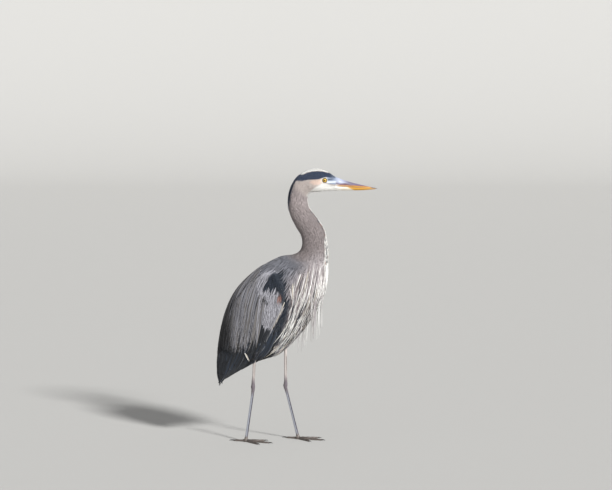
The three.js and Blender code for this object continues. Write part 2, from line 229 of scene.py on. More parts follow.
# patches: colour, share, half width of the soft edge in millimetres, outline
patches = {
    "scapularShade": ("black", 0.82, 14, [
        (-130, 560), (-165, 520), (-120, 440), (-112, 345), (-130, 300), (-290, 180), (-310, 260),
        (-290, 400), (-240, 510), (-190, 560)]),
    "underWing": ("blueBlack", 1, 4, [
        (-18, 500), (-12, 480), (-22, 438), (-45, 378), (-72, 321), (-100, 285), (-135, 300), (-112, 345),
        (-94, 346), (-66, 400), (-34, 458)]),
    "shoulder": ("blueBlack", 1, 3, [
        (-66, 586), (-34, 590), (-21, 545), (-15, 480), (-36, 474), (-44, 520), (-70, 530), (-96, 529),
        (-85, 558)]),
    "buff": ("buff", 0.75, 4, [(50, 902), (84, 905), (88, 893), (78, 886), (58, 885), (45, 893)]),
    "faceWhite": ("white", 1, 3.5, [
        (42, 859), (58, 873), (72, 881), (85, 890), (104, 889), (116, 884), (135, 880), (190, 877),
        (190, 850), (30, 845)]),
    "lores": ("lores", 1, 2, [(103, 912), (140, 909), (140, 884), (107, 889), (102, 900)]),
    "crownBand": ("crownBlack", 1, 1.6, [
        (19, 918), (35, 926), (54, 930.5), (72, 931.7), (88, 930.5), (100, 927.5), (109, 925.5), (116, 935),
        (136, 930), (136, 908), (118, 908.5), (103, 911), (85, 907.5), (72, 904), (42, 903), (19, 898),
        (-1, 899), (-13, 880), (-20, 855), (-23, 835), (-50, 820), (-55, 870), (-30, 925), (0, 935)]),
    "crownWhite": ("white", 1, 1.2, [
        (8, 921), (20, 919), (35, 927), (54, 931.5), (72, 932.7), (88, 931.5), (100, 928.5), (109, 926.5),
        (112, 940), (96, 955), (60, 960), (10, 950)])}
# stripes and single marks: widths are angles from the front or the nape, headFrom and neckPales are places
stripes = {"frontWidth": 0.34, "frontWidening": 0.26, "napeWidth": 0.55, "napeWidening": 0.45,
           "neckPales": (13, 16), "neckGain": 0.38, "headFrom": (16.6, 17.6), "wingBend": (-42, 498),
           "creamEdge": (392, 474)}


def layered(colour, *layers):
    # lays colours, named or worked out, over one another by their shares
    for over, share in layers:
        over = paint[over] if isinstance(over, str) else over
        colour = colour + (over - colour) * np.clip(share, 0, 1)[..., None]
    return colour


def patch(name, x, z, where=1):
    colour, share, edge, outline = patches[name]
    return colour, share * where * ease(-edge, edge, insideBy(outline, x, z))


def markings(place, angle):
    # colours of the plumage at a place on the body, the same for the skin and for the coat's roots
    point = surface(place, angle, False)
    x, z, side = point[..., 0], point[..., 2], np.abs(angle)
    inWing = insideBy(wing["outline"], x, z)
    soft, low = ([(colour, share * ease(*places, place) * ease(*sides, side))
                  for colour, share, places, sides in rows] for rows in (washes, lowWashes))
    edgeFrom, edgeTo = stripes["creamEdge"]
    leading = ease(0, 2, inWing) * ease(7, 4, inWing) * (x > -75) * (z < edgeTo) * (z > edgeFrom)
    fromBend = np.hypot(x - stripes["wingBend"][0], (z - stripes["wingBend"][1]) * 0.6)
    # front of the neck: a white line that breaks into black and white streaks lower down
    lineWidth = stripes["frontWidth"] + stripes["frontWidening"] * ease(13, 10, place)
    frontLine = ease(0, -0.16, side - lineWidth) * ease(18.2, 17.2, place) * ease(6.5, 8, place)
    napeWidth = stripes["napeWidth"] + stripes["napeWidening"] * ease(15, 17.2, place)
    napeLine = ease(-napeWidth, -0.45 * napeWidth, side - math.pi) * ease(14.2, 15.6, place)
    onHead = ease(*stripes["headFrom"], place)
    crown = patch("crownBand", x, z, onHead)
    return layered(
        paint["neck"] * (1 + stripes["neckGain"] * ease(*stripes["neckPales"], place))[..., None], *soft,
        ("covert", ease(-3, 3, inWing) * (place < body["neckPlace"])),
        patch("scapularShade", x, z, place < 7),
        patch("underWing", x, z, (place < 8) * ease(0.3, 0.7, side)),
        patch("shoulder", x, z, place < 9),
        ("cream", 0.9 * leading * (place < 8)), ("rufous", 0.8 * ease(9, 4, fromBend) * (place < 8)),
        *low, ("rump", ease(3.2, 2.4, place)),
        ("white", 0.9 * frontLine), ("crownBlack", 0.85 * napeLine * ease(19, 18, place)),
        ("cheek", 0.85 * onHead), *(patch(name, x, z, onHead) for name in ("buff", "faceWhite", "lores")),
        crown, ("lores", 0.7 * crown[1] * ease(112, 130, x)), patch("crownWhite", x, z, onHead))


# The skin: the body's form drawn in by the coat's depth, with brow, lore and gape modelled in

skin = {"around": 144, "lengths": [(0, 8.5, 4 / 42), (8.5, 17.5, 4 / 34), (17.5, 23.45, 1.3 / 19)],
        "headDepth": 1.2, "neckDepth": 2.2, "trunkDepth": 4.0, "neckFrom": (7, 10), "headFrom": (15.5, 19),
        "underBill": 2.0}
face = {"sideFrom": (4, 9), "lid": 0.9, "lidRadius": 7.9, "lidWidth": 1.1, "socket": 3.0, "socketRadius": 6.0,
        "gape": 0.9, "gapeStart": (126, 880), "gapeSlope": -0.06, "lidRing": 9.2, "eyeRim": 8.6,
        # brow, lore and cheek: height, middle x and z, spread along x and z
        "swellings": [(1.3, 98, 910.5, 13, 2.6), (-1.7, 113, 899, 9, 5), (0.8, 72, 884, 18, 12)]}


def coatDepth(place):
    depth = skin["trunkDepth"] + (skin["neckDepth"] - skin["trunkDepth"]) * ease(*skin["neckFrom"], place)
    return depth + (skin["headDepth"] - depth) * ease(*skin["headFrom"], place)


def fromEye(x, z):
    return np.hypot(x - eye["centre"][0], z - eye["centre"][2])


def facePull(points):
    # how far the face is pressed in (minus) or swells (plus), in millimetres
    x, y, z = points[..., 0], np.abs(points[..., 1]), points[..., 2]
    away = fromEye(x, z)
    lid = face["lid"] * bell(away - face["lidRadius"], face["lidWidth"])
    socket = face["socket"] * ease(face["socketRadius"] + 1.2, face["socketRadius"], away)
    gapeX, gapeZ = face["gapeStart"]
    gape = face["gape"] * bell(z - gapeZ - face["gapeSlope"] * (x - gapeX), 1.1) * ease(84, 92, x)
    pull = lid - socket - gape
    for height, midX, midZ, spreadX, spreadZ in face["swellings"]:
        pull = pull + height * bell(x - midX, spreadX) * bell(z - midZ, spreadZ)
    return pull * ease(*face["sideFrom"], y)


def bodySkin():
    places = np.concatenate([np.arange(*part) for part in skin["lengths"]])
    angles = np.linspace(-math.pi, math.pi, skin["around"], endpoint=False)
    place, angle = np.meshgrid(places, angles, indexing="ij")
    here, _, _, normal = surfaceFrame(place, angle)
    inset = coatDepth(place) + skin["underBill"] * ease(23.0, 23.44, place)
    return here + normal * (facePull(here) - inset)[..., None], place, angle


def loresStreaks(x, z, bare):
    # a pale and a dark streak between eye and bill
    pale, dark = bell(z - 894 - 0.03 * (x - 110), 2.6), bell(z - 903 - 0.12 * (x - 110), 2.8)
    return ("loresPale", 0.85 * bare * pale), ("loresDark", 0.85 * bare * dark * ease(136, 118, x))


def bareFace(colour, points):
    # lores, gape, the lids' pale ring, and a black rim round the eye that is partly the lids' own dark edge
    # and partly painted shade
    x, y, z = points[..., 0], np.abs(points[..., 1]), points[..., 2]
    bare = ease(-1.5, 1.5, insideBy(patches["lores"][3], x, z)) * (y > 3)
    gapeLine = bell(z - 888.4 + 0.14 * (x - 107), 1.1) * ease(98, 104, x)
    away = fromEye(x, z)
    ring = np.exp(-((away - face["lidRing"]) / 0.8) ** 4)
    return layered(colour, *loresStreaks(x, z, bare), ("loresDark", 0.75 * gapeLine * (y > 5)),
                   ("lid", 0.9 * ring * (y > 5)),
                   ("black", ease(face["eyeRim"], face["eyeRim"] - 0.5, away) * (y > 5)))


points, place, angle = bodySkin()
skinPiece = quadMesh("skin", points, tubeQuads(*place.shape))
addColours(skinPiece, "coat", bareFace(markings(place, angle), points))
addColours(skinPiece, "limb", np.zeros(points.shape))
print("skin", len(skinPiece.data.polygons))


# Legs, feet and claws

legs = {"right": {"side": -1, "thighTop": (-112, 34, 384), "cuff": (-140, 38, 284), "ankle": (-146, 34, 187),
                  "foot": (-167, 52), "heading": -8, "bareBelow": 0},
        "left": {"side": 1, "thighTop": (-66, 34, 398), "cuff": (-51, 38, 306), "ankle": (-50, 36, 187),
                 "foot": (-8, 44), "heading": 6, "bareBelow": 328}}
toes = {"middle": {"turn": 0, "length": 86, "claw": 14, "joints": 3},
        "outer": {"turn": 31, "length": 70, "claw": 12, "joints": 4},
        "inner": {"turn": -33, "length": 64, "claw": 13, "joints": 2},
        "hind": {"turn": 176, "length": 42, "claw": 19, "joints": 1}}
limb = {"around": 24, "thighAround": 32, "padAround": 20, "toeAround": 16, "clawAround": 12, "rings": 90,
        # ankle: ahead, height, half depth, half width; tarsus: share of its length, half depth, half width
        "ankle": [(0, 22, 5.0, 4.3), (-0.2, 9, 6.2, 5.2), (-0.9, 0, 7.3, 5.8), (-0.6, -8, 6.0, 5.0)],
        "tarsus": [(0.12, 4.5, 3.9), (0.35, 4.1, 3.4), (0.6, 4.1, 3.4), (0.85, 4.3, 3.8), (0.93, 4.9, 4.6),
                   (1.0, 6.8, 6.2)],
        # the pad where the toes meet: half length and width, then height and fullness up it
        "pad": (8.3, 7.3), "padShape": [(0, 0.86), (1.2, 1), (6, 1), (9, 0.86), (12, 0.62), (13.5, 0.3)],
        "thighDepth": 25, "thighWidth": 14.5, "thighTaper": ([0, 0.45, 0.8, 1], [1, 0.86, 0.46, 0.16])}
# toes: half height and width at the root, what they lose to the tip, and the pinch between two pads
toeForm = {"rings": 46, "height": (4.7, 1.9, 0.13), "width": (4.1, 1.4, 0.12), "bluntFrom": 0.96}
clawForm = {"rings": 18, "buried": 1.5, "height": 2.2, "width": 1.7, "curve": 1.35, "tilt": 0.9, "drop": 2.9}
limbLines = []


def legColours(kind, z, front, bareBelow=0):
    # pale shank, dusky joint, slate tarsus with a darker front, brown-grey toes
    if kind == "thigh":
        # the feathered thigh is near-black, painted shade in place of its own rufous
        return layered(paint["shank"], ("thigh", ease(bareBelow - 4, bareBelow, z)))
    if kind == "claw":
        return np.broadcast_to(paint["claw"], z.shape + (3,))
    if kind in ("toe", "pad"):
        return layered(paint["toe"], ("toeDark", 0.7 * ease(0.2, 0.95, front)))
    mottle = 0.5 + 0.5 * np.sin(z * 0.55 + 2 * front) * np.sin(z * 0.23 + 1.3)
    tarsus = layered(paint["tarsus"], ("tarsusDark", 0.85 * ease(0.25, 0.85, front) + 0.15 * mottle))
    return layered(paint["shank"], ("shankEdge", 0.7 * ease(0.1, -0.9, front) + 0.2 * mottle),
                   ("ankle", ease(232, 198, z)), (tarsus, ease(176, 150, z)), ("toe", ease(26, 12, z)))


def tube(centres, rises, sides, around, name, kind, bareBelow=0):
    # a closed tube through rings given by centre, half height vector and half width vector
    angle = np.linspace(0, 2 * math.pi, around, endpoint=False)[None, :, None]
    points = centres[:, None] + rises[:, None] * np.cos(angle) + sides[:, None] * np.sin(angle)
    if kind in ("toe", "claw"):
        points[..., 2] = np.maximum(points[..., 2], 0)
    piece = quadMesh(name, points, tubeQuads(len(centres), around))
    limbLines.append((kind, centres, rises, sides, bareBelow))
    front = np.broadcast_to(np.cos(angle[..., 0]), points.shape[:2])
    addColours(piece, "coat", legColours(kind, points[..., 2], front, bareBelow))
    if kind != "claw":
        addColours(piece, "limb", np.full(points.shape, 0.0 if kind == "thigh" else 1.0))
    return piece


def legShells(name, leg):
    side = leg["side"]
    cuff, ankle, foot, top = (np.array(leg[key], float) for key in ("cuff", "ankle", "foot", "thighTop"))
    way = [[*(cuff + (0, 0, 16)), 4.8, 4.3], [*(cuff + ankle) / 2, 4.4, 3.9]]
    for ahead, up, depth, width in limb["ankle"]:
        way.append([ankle[0] + ahead, ankle[1], ankle[2] + up, depth, width])
    # the tarsus runs from just under the joint to just over the pad
    for share, depth, width in limb["tarsus"]:
        height = (ankle[2] - 8) * (1 - share) + 7 * share
        way.append([*(ankle[:2] + (foot - ankle[:2]) * share), height, depth, width])
    ring = spline(np.array(way), np.linspace(0, len(way) - 1, limb["rings"]))
    shells = [tube(ring[:, :3] * (1, side, 1), np.outer(ring[:, 3], axisX), np.outer(ring[:, 4], axisY),
                   limb["around"], "leg_" + name, "leg")]
    share = np.linspace(0, 1, 24)
    size = np.interp(share, *limb["thighTaper"])
    centres = (top + np.outer(share, cuff - top)) * (1, side, 1)
    shells.append(tube(centres, np.outer(limb["thighDepth"] * size, axisX),
                       np.outer(limb["thighWidth"] * size + 1.2, axisY), limb["thighAround"], "thigh_" + name,
                       "thigh", leg["bareBelow"]))
    heights, fullness = np.array(limb["padShape"]).T
    centres = np.array([(foot[0], foot[1] * side, height) for height in heights])
    shells.append(tube(centres, np.outer(limb["pad"][0] * fullness, axisX),
                       np.outer(limb["pad"][1] * fullness, axisY), limb["padAround"], "pad_" + name, "pad"))
    return shells + [tube(*toeRings(leg, toe), limb["toeAround"], "toe_" + toeName + "_" + name, "toe")
                     for toeName, toe in toes.items()]


def toeWay(leg, turn, distance, height):
    # places along a toe's heading from the foot's centre, with its heading and the way across it
    angle = math.radians(turn - leg["heading"]) * leg["side"]
    ahead = np.array([math.cos(angle), math.sin(angle), 0])
    start = np.array([leg["foot"][0], leg["foot"][1] * leg["side"], 0])
    return start + np.outer(distance, ahead) + np.outer(height, axisZ), ahead, np.cross(axisZ, ahead)


def toeRings(leg, toe):
    # pads swell at each joint and pinch between them
    share = np.linspace(0, 1, toeForm["rings"])
    pads = 0.5 - 0.5 * np.cos(2 * math.pi * share * toe["joints"])
    blunt = np.where(share > toeForm["bluntFrom"], 0.8, 1)
    halfHeight, halfWidth = ((root - loss * share) * (1 - pinch * pads) * blunt
                             for root, loss, pinch in (toeForm["height"], toeForm["width"]))
    centres, _, across = toeWay(leg, toe["turn"], share * toe["length"], halfHeight * 0.9)
    return centres, np.outer(halfHeight, axisZ), np.outer(halfWidth, across)


def clawPiece(leg, toe, name):
    share, curve = np.linspace(0, 1, clawForm["rings"]), clawForm["curve"]
    size = (1 - share) ** 0.75 * 0.92 + 0.06
    reach = (toe["claw"] + clawForm["buried"]) * np.sin(share * curve) / math.sin(curve)
    height = 2.6 + 1.5 * np.sin(share * math.pi * 0.8) - clawForm["drop"] * share ** 2.2
    centres, ahead, across = toeWay(leg, toe["turn"], toe["length"] - clawForm["buried"] + reach,
                                    np.maximum(height, size * 2.1))
    tilt = share * clawForm["tilt"]
    rises = np.outer(np.sin(tilt), ahead) + np.outer(np.cos(tilt), axisZ)
    return tube(centres, rises * (clawForm["height"] * size)[:, None],
                np.outer(clawForm["width"] * size, across), limb["clawAround"], name, "claw")


def unite(target, shells):
    # joins closed shells into one closed surface
    for shell in shells:
        union = target.modifiers.new("union", "BOOLEAN")
        union.operation, union.object, union.solver = "UNION", shell, "MANIFOLD"
        bpy.context.view_layer.update()
        evaluated = target.evaluated_get(bpy.context.evaluated_depsgraph_get())
        mesh = bpy.data.meshes.new_from_object(evaluated)
        target.modifiers.clear()
        target.data = mesh
        mesh.materials.clear()
        bpy.data.objects.remove(shell)


claws = []
for name, leg in legs.items():
    unite(skinPiece, legShells(name, leg))
    for toeName, toe in toes.items():
        claw = clawPiece(leg, toe, "claw_horn_" + toeName + "_" + name)
        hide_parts("claw_" + toeName + "_" + name)
        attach(claw, "root")
        claws.append(claw)
print("skin with legs", len(skinPiece.data.polygons))


# Bill: two horn mandibles with the gape between them, culmen ridge and a nostril slit

bill = {"start": 22.75, "tipX": 275, "gape": (126, 880), "gapeSlope": -0.062, "seam": 0.35, "steps": 150,
        "around": 48, "nostril": (152, 889), "grooveSlope": 0.075, "lowerShort": 6, "sunk": 2.0}


def gapeHeight(x):
    return bill["gape"][1] + bill["gapeSlope"] * (x - bill["gape"][0])


def fromGroove(x, z):
    # height over the line of the nostril and the groove that runs on towards the tip
    return z - bill["nostril"][1] + bill["grooveSlope"] * (x - bill["nostril"][0])


def mandible(upper):
    # the body's form cut along the gape: each ring keeps the part above or below the seam
    place = np.linspace(bill["start"], len(bodyRings) - 1, bill["steps"])
    x, top, _, bottom, half = spline(bodyRings, place).T
    # the root sinks under the face's skin
    sunk = bill["sunk"] * ease(bill["start"] + 1.1, bill["start"] + 0.1, place)
    top, bottom, half = top - sunk, bottom + sunk, half - 1.4 * sunk
    parting = bill["seam"] * np.clip((bill["tipX"] - x) / 20, 0, 1)
    if upper:
        low, high = np.minimum(gapeHeight(x) + parting, top - 1.0), top
    else:
        low, high = bottom, np.maximum(np.minimum(gapeHeight(x) - parting, bottom + 60), bottom + 0.6)
        keep = x < bill["tipX"] - bill["lowerShort"]
        x, top, bottom, half, low, high = (values[keep] for values in (x, top, bottom, half, low, high))
    x, top, bottom, half, low, high = (values[:, None] for values in (x, top, bottom, half, low, high))
    angle = np.linspace(0, 2 * math.pi, bill["around"], endpoint=False)
    vertical, sideways = np.cos(angle)[None, :], np.sin(angle)[None, :]
    # flat along the cutting edge, ridged along the culmen or keel
    atSeam = vertical < 0 if upper else vertical > 0
    lifted = np.where(atSeam, np.abs(vertical) ** 0.45 * np.sign(vertical), vertical)
    z = (high + low) / 2 + (high - low) / 2 * lifted
    level = np.clip((z - (top + bottom) / 2) / ((top - bottom) / 2), -1, 1)
    envelope = half * np.sqrt(np.maximum(1 - np.abs(level) ** 1.8, 0.015))
    x, y = np.broadcast_to(x, z.shape), envelope * np.sign(sideways) * np.abs(sideways) ** 0.55
    if upper:
        off = fromGroove(x, z)
        slit = 1.5 * bell(x - bill["nostril"][0], 6) * bell(off, 1.0)
        groove = 0.5 * bell(off, 1.3) * ease(128, 140, x) * ease(232, 190, x)
        y = y - np.sign(y) * (slit + groove)
    return np.stack([x, y, z], -1)


billPieces = {}
for part in ("upper", "lower"):
    points = mandible(part == "upper")
    x, z = points[..., 0], points[..., 2]
    height = z - gapeHeight(x)
    if part == "upper":
        root = ease(146, 128, x) * ease(8.5, 10.5, height)
        edge = layered(paint["billEdge"], ("billOchre", ease(165, 192, x)))
        colours = layered(
            paint["billHorn"], ("billTip", ease(0.7, 1, (x - 128) / 147)),
            # the top near the base is pale, partly the horn's own lavender and partly a painted highlight
            ("billPaleAndHighlight", 0.8 * ease(184, 146, x) * ease(9, 12, height)),
            ("billGroove", 0.85 * bell(fromGroove(x, z), 1.5) * ease(196, 176, x)),
            ("billBrown", 0.85 * ease(8.6, 6.4, height) * ease(250, 225, x)),
            (layered(paint["lores"], *loresStreaks(x, z, root)), root),
            (edge, ease(5.4, 4.2, height) * ease(262, 245, x)),
            ("white", 0.85 * ease(152, 130, x) * ease(8.2, 6.2, height)))
    else:
        colours = layered(paint["billOrange"], ("billCream", ease(180, 166, x + 2.2 * height)),
                          ("white", 0.8 * ease(165, 132, x)))
    piece = quadMesh("bill_horn_" + part, points, tubeQuads(*x.shape))
    addColours(piece, "coat", colours)
    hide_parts("bill_" + part)
    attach(piece, "root")
    billPieces[part] = piece
print("bill")


# Eyes: a dark ball with its iris and pupil painted on the front

eyePieces = []
polar = np.linspace(0.02, math.pi - 0.02, eye["rings"])[:, None]
turn = np.linspace(0, 2 * math.pi, eye["around"], endpoint=False)[None, :]
for name, sign in (("right", -1), ("left", 1)):
    points = np.stack([eye["radius"] * np.sin(polar) * np.cos(turn) + eye["centre"][0],
                       sign * (eye["radius"] * np.cos(polar) * np.ones_like(turn) + eye["centre"][1]),
                       eye["radius"] * np.sin(polar) * np.sin(turn) + eye["centre"][2]], -1)
    ball = quadMesh("eyeball_" + name, points, tubeQuads(*points.shape[:2]))
    x, z = points[..., 0], points[..., 2]
    away, around = fromEye(x, z), np.arctan2(z - eye["centre"][2], x - eye["centre"][0])
    flecks = 0.5 + 0.5 * np.sin(around * 23 + 2 * np.sin(around * 7))
    colours = layered(paint["iris"], ("irisFleck", 0.45 * flecks),
                      ("irisShade", 0.8 * ease(0.35, 1, -np.cos(around)) * ease(2.5, 4.5, away)),
                      ("pupil", ease(eye["pupil"] + 0.25, eye["pupil"] - 0.05, away)),
                      ("eyeDark", ease(eye["iris"] - 0.3, eye["iris"] + 0.2, away)))
    front = sign * points[..., 1] > eye["centre"][1]
    addColours(ball, "coat", np.where(front[..., None], colours, paint["eyeDark"]))
    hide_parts("eye_" + name)
    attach(ball, "root")
    eyePieces.append(ball)
print("eyes")


# Feathers: thin closed vanes walked down the lie of the coat from their roots, joined into a few meshes

coat = {"patch": 0.0015, "mostTriangles": 185000, "shortest": 0.12, "lastPlace": 24.6}
down = -axisZ
# across the vane, drop of the edge and rise of the middle
sections = {4: np.array([[-1, -1, 0], [0, 0, 0.5], [1, -1, 0], [0, 0, -0.5]]),
            6: np.array([[-1, -1, 0], [-0.5, -0.3, 0.4], [0, 0, 1], [0.5, -0.3, 0.4], [1, -1, 0],
                         [0, -0.2, -0.5]])}


def backwards(here, along, around, place, angle):
    return -unit(along)


def leaning(share):
    # a lie between the body's own and straight down
    return lambda here, along, around, place, angle: unit(-unit(along) * (1 - share) + down * share)


# what every tract starts from: root is the depth in the coat and lift the rise over it, tip is how blunt the
# vane ends, sway and bend turn it at random, fall, clings and fallFrom say where it leaves the body
plainVane = {"flow": backwards, "sway": 0.06, "bend": 0.08, "fall": 0, "clings": -2, "fallFrom": -1,
             "section": 4, "swell": 3, "jitter": 0.07, "rootShade": 0.72, "edgeLight": 0.06, "edgeShare": 0}


def scatter(low, high, alongGap, aroundGap, spread=0.35):
    # roots in staggered rows at even distances over the body, each moved a little at random
    fine = np.linspace(low, high, 500)
    steps = sum(np.linalg.norm(np.diff(surface(fine, angle, False), axis=0), axis=-1)
                for angle in (0.0, math.pi / 2, math.pi)) / 3
    reach = np.concatenate([[0], np.cumsum(steps)])
    places, angles = [], []
    turn = np.linspace(-math.pi, math.pi, 241)
    for k, distance in enumerate(np.arange(alongGap / 2, reach[-1], alongGap)):
        ring = surface(np.interp(distance, reach, fine), turn, False)
        girth = np.concatenate([[0], np.cumsum(np.linalg.norm(np.diff(ring, axis=0), axis=-1))])
        count = max(6, round(girth[-1] / aroundGap))
        at = (np.arange(count) + 0.5 * (k % 2) + rng.uniform(-spread, spread, count)) / count
        angles.append(np.interp((at % 1) * girth[-1], girth, turn))
        shift = rng.uniform(-spread, spread, count) * alongGap
        places.append(np.interp(distance + shift, reach, fine))
    return np.concatenate(places), np.concatenate(angles)


def rooted(tract, keep):
    # the roots of one tract that keep allows, with their side view
    place, angle = scatter(*tract["rows"])
    x, y, z = surface(place, angle, False).T
    kept = keep(place, np.abs(angle), x, y, z)
    return place[kept], angle[kept], x[kept], z[kept]


def picked(shares, count):
    choice = rng.choice(len(shares), count, p=list(shares.values()))
    return np.array([paint[name] for name in shares])[choice]


def lay(place, angle, length, tract):
    # walks every vane over the surface; a loose one leaves it and falls
    count, stations = len(place), tract["stations"]
    points, ways, outs = (np.zeros((stations, count, 3)) for _ in range(3))
    marks = np.zeros((stations, 2, count))
    step = (length / (stations - 1))[:, None]
    loose = np.zeros(count, bool)
    rootDepth = tract["root"] * coatDepth(place)[:, None] + 0.6
    swing = rng.normal(0, tract["sway"], (count, 1))
    bend = rng.normal(0, tract["bend"], (count, 1))
    for k in range(stations):
        here, along, around, normal = surfaceFrame(place, angle)
        direction = tract["flow"](here, along, around, place, angle)
        tangent = unit(direction - normal * dot(direction, normal))
        turn = swing + bend * k / (stations - 1)
        tangent = tangent * np.cos(turn) + np.cross(normal, tangent) * np.sin(turn)
        spot = here + normal * ((rootDepth + tract["lift"]) * (k / (stations - 1)) ** 0.7 - rootDepth)
        if k:
            way = unit(ways[k - 1] + down * tract["fall"])
            out = unit(outs[k - 1] - way * dot(outs[k - 1], way))
            held = loose[:, None]
            spot = np.where(held, points[k - 1] + way * step, spot)
            tangent, normal = np.where(held, way, tangent), np.where(held, out, normal)
        points[k], ways[k], outs[k], marks[k] = spot, tangent, normal, (place, angle)
        loose |= (place < 0.03) | (dot(tangent, down)[:, 0] < tract["clings"])
        loose |= spot[:, 2] < tract["fallFrom"]
        aa, ab, bb = dot(along, along)[:, 0], dot(along, around)[:, 0], dot(around, around)[:, 0]
        ta, tb = dot(tangent, along)[:, 0], dot(tangent, around)[:, 0]
        scale = step[:, 0] / np.maximum(aa * bb - ab * ab, 1e-6)
        place = np.clip(place + np.clip((ta * bb - tb * ab) * scale, -0.8, 0.8), 0, coat["lastPlace"])
        angle = angle + np.clip((tb * aa - ta * ab) * scale, -0.6, 0.6)
    return points, ways, outs, marks


def wrapped(angle):
    return (angle + math.pi) % (2 * math.pi) - math.pi


def vanes(name, place, angle, tract, length=None, width=None, tint=None):
    # the vanes of one tract; tint gives each its own colour, or alters the marking it grows from
    tract, count = {**plainVane, **tract}, len(place)
    length = rng.uniform(*tract["length"], count) if length is None else np.broadcast_to(length, count)
    width = rng.uniform(*tract["width"], count) if width is None else width
    tint = picked(tract["colours"], count) if tint is None and "colours" in tract else tint
    *walk, marks = lay(place, angle, length, tract)
    seen = marks[min(int(tract["stations"] * 0.62), tract["stations"] - 1)]
    base = markings(seen[0], wrapped(seen[1])) if tint is None or callable(tint) else tint
    if callable(tint):
        base = tint(base, place, angle)
    spot = np.stack([wrapped(angle) / (2 * math.pi) + 0.5, place / 28], -1)
    dress(name, walk, spot, length, width, tract, base)


def dress(name, walk, spot, length, width, tract, base):
    # turns walked vanes into joined closed meshes, each vane with its colours and its two maps
    points, ways, outs = walk
    stations, count = points.shape[:2]
    length, width = (np.broadcast_to(values, count) for values in (length, width))
    form = sections[tract["section"]]
    across, drop, rise = form.T
    share = np.linspace(0, 1, stations)[:, None, None]
    taper = np.minimum(1, 0.35 + tract["swell"] * share) * (1 - share ** tract["tip"]) ** 0.8
    half = np.maximum(width[None, :, None] / 2 * taper, coat["shortest"])
    solid = (points[:, :, None] + unit(np.cross(ways, outs))[:, :, None] * (half * across)[..., None]
             + outs[:, :, None] * (half * drop * tract["arch"] + rise * tract["thick"])[..., None])
    solid = solid.transpose(1, 0, 2, 3)
    along = np.linspace(0, 1, stations)[None, :, None]
    shade = (1 + rng.normal(0, tract["jitter"], count))[:, None, None]
    shade = shade * (tract["rootShade"] + (1 - tract["rootShade"]) * ease(0, 0.45, along))
    shade = shade * (1 + tract["edgeLight"] * (np.abs(across) - 0.4))
    colours = base[:, None, None] * shade[..., None]
    if tract["edgeShare"]:
        strength = tract["edgeShare"] * ease(0.3, 1, np.abs(across))
        colours = layered(colours, (tract["edge"], strength[None, None]))
    local = np.stack(np.broadcast_arrays(across[None, None], 2 * along - 1), -1)
    bake = spot[:, None, None] + coat["patch"] * local * np.ones((count, 1, 1, 1))
    barbs = np.stack(np.broadcast_arrays((half * across).transpose(1, 0, 2),
                                         along * length[:, None, None]), -1)
    pattern = tubeQuads(stations, len(form))
    each = max(1, int(coat["mostTriangles"] / (2 * len(pattern))))
    for part, first in enumerate(range(0, count, each)):
        some = slice(first, min(first + each, count))
        number = np.arange(some.stop - some.start)
        quads = (pattern[None] + (number * stations * len(form))[:, None, None]).reshape(-1, 4)
        piece = quadMesh(name + "_" + str(part), solid[some], quads)
        addColours(piece, "coat", np.clip(colours[some], 0, 1))
        addUv(piece, "OFBake", bake[some])
        addUv(piece, "vane", barbs[some])
        piece.data.materials.append(tract.get("material", feather))
        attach(piece, "root")
    print(name, count, "vanes", count * len(pattern) * 2, "triangles in", part + 1)


def layOnTube(centres, rises, sides, index, turn, tract):
    # short vanes lying along a limb, given by ring number and turn about it
    numbers, stations = np.arange(len(centres)), tract["stations"]
    spacing = np.linalg.norm(np.diff(centres, axis=0), axis=-1).mean()
    rows = []
    for k in range(stations):
        at = index + tract["long"] / spacing * k / (stations - 1)
        centre, rise, side, way = (np.stack([np.interp(at, numbers, column) for column in values.T], -1)
                                   for values in (centres, rises, sides, np.gradient(centres, axis=0)))
        past = np.maximum(at - numbers[-1], 0)[:, None] * spacing
        spoke = rise * np.cos(turn)[:, None] + side * np.sin(turn)[:, None]
        out = unit(spoke)
        rows.append((centre + unit(way) * past + spoke + out * tract["lift"] * k / (stations - 1), out))
    points, outs = (np.stack(part) for part in zip(*rows))
    ways = unit(np.gradient(points, axis=0))
    return points, ways, unit(outs - ways * dot(outs, ways))


# Materials

def addNode(tree, kind, settings=None, links=None):
    node = tree.nodes.new(kind)
    for key, value in (settings or {}).items():
        if isinstance(key, int) or key in node.inputs:
            node.inputs[key].default_value = value
        else:
            setattr(node, key, value)
    for key, source in (links or {}).items():
        tree.links.new(source, node.inputs[key])
    return node


def newMaterial(name, settings):
    material = bpy.data.materials.new(name)
    material.use_nodes = True
    shader = material.node_tree.nodes["Principled BSDF"]
    for key, value in settings.items():
        shader.inputs[key].default_value = value
    return material, material.node_tree, shader


barbSlant = 1.1  # how far a barb runs towards the tip for each millimetre out from the shaft


